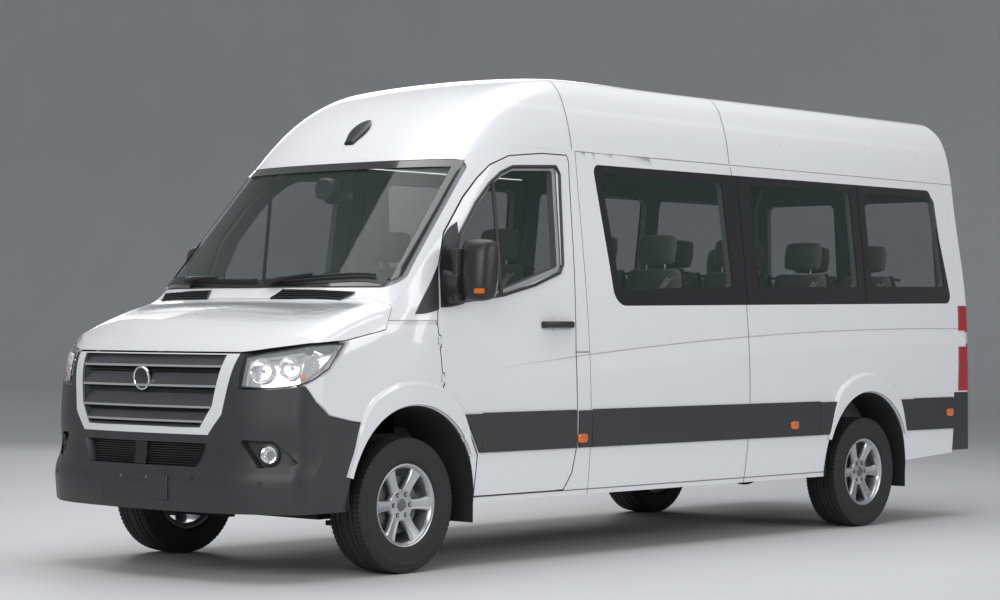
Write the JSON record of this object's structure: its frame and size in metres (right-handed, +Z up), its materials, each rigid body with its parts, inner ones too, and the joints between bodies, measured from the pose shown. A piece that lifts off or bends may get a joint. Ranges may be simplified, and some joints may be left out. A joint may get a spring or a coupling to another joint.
{
  "type": "minibus",
  "caption": "High-roof long-wheelbase passenger minibus with steered front wheels, hinged cab and rear doors, a lifting bonnet and a glazed saloon with seats.",
  "frame": {"origin": "on the ground, half-way along the vehicle, on its centre plane", "axes": "+X forwards, +Y to the vehicle's left, +Z up"},
  "size_m": [6.8022, 2.4, 2.7472],
  "materials": {
    "dark_plastic": "grained",
    "body_paint": "gloss",
    "cabin_plastic": "grained",
    "glass": "tinted",
    "cast_metal": "rough",
    "exhaust_steel": "satin",
    "floor_vinyl": "satin",
    "seat_fabric": "woven",
    "chassis_paint": "satin",
    "clear_lens": "clear",
    "alloy": "satin",
    "red_lens": "gloss",
    "tyre": "matte"
  },
  "bodies": {
    "root": {"arch_liners": "dark_plastic", "cab_frame": "body_paint", "dashboard": "cabin_plastic", "engine": "cast_metal", "exhaust": "exhaust_steel", "fender_left": "body_paint", "fender_right": "body_paint", "floor": "floor_vinyl", "front_bumper": "dark_plastic", "front_seats": "seat_fabric", "front_suspension": "chassis_paint", "fuel_tank": "dark_plastic", "grille": "dark_plastic", "grille_surround": "body_paint", "headlamp_left": "clear_lens", "headlamp_right": "clear_lens", "leaf_springs": "chassis_paint", "rear_axle": "chassis_paint", "rear_bumper": "dark_plastic", "roof": "body_paint", "rub_strips": "dark_plastic", "saloon_seats": "seat_fabric", "seat_bases": "chassis_paint", "side_glass_left": "glass", "side_glass_right": "glass", "side_left": "body_paint", "side_right": "body_paint", "sliding_door": "body_paint", "sliding_door_glass": "glass", "tail_lamps": "red_lens", "underframe": "chassis_paint", "windscreen": "glass"},
    "wheel_front_left": {"tyre_front_left": "tyre", "rim_front_left": "alloy"},
    "wheel_front_right": {"tyre_front_right": "tyre", "rim_front_right": "alloy"},
    "wheel_rear_left": {"tyre_rear_left": "tyre", "rim_rear_left": "alloy"},
    "wheel_rear_right": {"tyre_rear_right": "tyre", "rim_rear_right": "alloy"},
    "knuckle_left": {"knuckle_left": "chassis_paint"},
    "knuckle_right": {"knuckle_right": "chassis_paint"},
    "track_rod": {"track_rod": "chassis_paint"},
    "steering_wheel": {"steering_wheel": "cabin_plastic"},
    "front_door_left": {"door_glass_left": "glass", "door_left": "body_paint", "door_trim_left": "dark_plastic", "mirror_left": "dark_plastic"},
    "front_door_right": {"door_glass_right": "glass", "door_right": "body_paint", "door_trim_right": "dark_plastic", "mirror_right": "dark_plastic"},
    "rear_door_left": {"rear_door_left": "body_paint", "rear_glass_left": "glass"},
    "rear_door_right": {"rear_door_right": "body_paint", "rear_glass_right": "glass"},
    "bonnet": {"bonnet": "body_paint"}
  },
  "joints": [
    {"name": "steer_left", "type": "hinge", "parent": "root", "child": "knuckle_left", "pos_m": [2.368, 0.79, 0.356], "axis": [0, 0, 1], "range_deg": [-35, 35]},
    {"name": "steer_right", "type": "hinge", "parent": "root", "child": "knuckle_right", "pos_m": [2.368, -0.79, 0.356], "axis": [0, 0, 1], "range_deg": [-35, 35]},
    {"name": "spin_front_left", "type": "hinge", "parent": "knuckle_left", "child": "wheel_front_left", "pos_m": [2.368, 0.85, 0.356], "axis": [0, 1, 0], "continuous": true},
    {"name": "spin_front_right", "type": "hinge", "parent": "knuckle_right", "child": "wheel_front_right", "pos_m": [2.368, -0.85, 0.356], "axis": [0, 1, 0], "continuous": true},
    {"name": "spin_rear_left", "type": "hinge", "parent": "root", "child": "wheel_rear_left", "pos_m": [-1.957, 0.85, 0.356], "axis": [0, 1, 0], "continuous": true},
    {"name": "spin_rear_right", "type": "hinge", "parent": "root", "child": "wheel_rear_right", "pos_m": [-1.957, -0.85, 0.356], "axis": [0, 1, 0], "continuous": true},
    {"name": "track_rod_slide", "type": "slide", "parent": "root", "child": "track_rod", "axis": [0, 1, 0], "range_m": [-0.0435, 0.0435]},
    {"name": "steering_wheel_turn", "type": "hinge", "parent": "root", "child": "steering_wheel", "pos_m": [1.768, -0.43, 1.33], "axis": [-0.5299, 0, 0.848], "range_deg": [-560, 560]},
    {"name": "front_door_left_swing", "type": "hinge", "parent": "root", "child": "front_door_left", "pos_m": [2.119, 0.981, 1.01], "axis": [-0.0801, 0.0522, -0.9954], "range_deg": [0, 70]},
    {"name": "front_door_right_swing", "type": "hinge", "parent": "root", "child": "front_door_right", "pos_m": [2.119, -0.981, 1.01], "axis": [0.0801, 0.0522, 0.9954], "range_deg": [0, 70]},
    {"name": "rear_door_left_swing", "type": "hinge", "parent": "root", "child": "rear_door_left", "pos_m": [-3.373, 0.802, 0.7], "axis": [-0.0615, 0, -0.9981], "range_deg": [0, 180]},
    {"name": "rear_door_right_swing", "type": "hinge", "parent": "root", "child": "rear_door_right", "pos_m": [-3.373, -0.802, 0.7], "axis": [0.0615, 0, 0.9981], "range_deg": [0, 180]},
    {"name": "bonnet_lift", "type": "hinge", "parent": "root", "child": "bonnet", "pos_m": [2.338, 0, 1.41], "axis": [0, -1, 0], "range_deg": [0, 50]}
  ],
  "couplings": [
    {"joint": "steer_right", "follows": "steer_left", "ratio": 1},
    {"joint": "track_rod_slide", "follows": "steer_left", "m_per_rad": -0.0704},
    {"joint": "steering_wheel_turn", "follows": "steer_left", "ratio": 15.9}
  ]
}
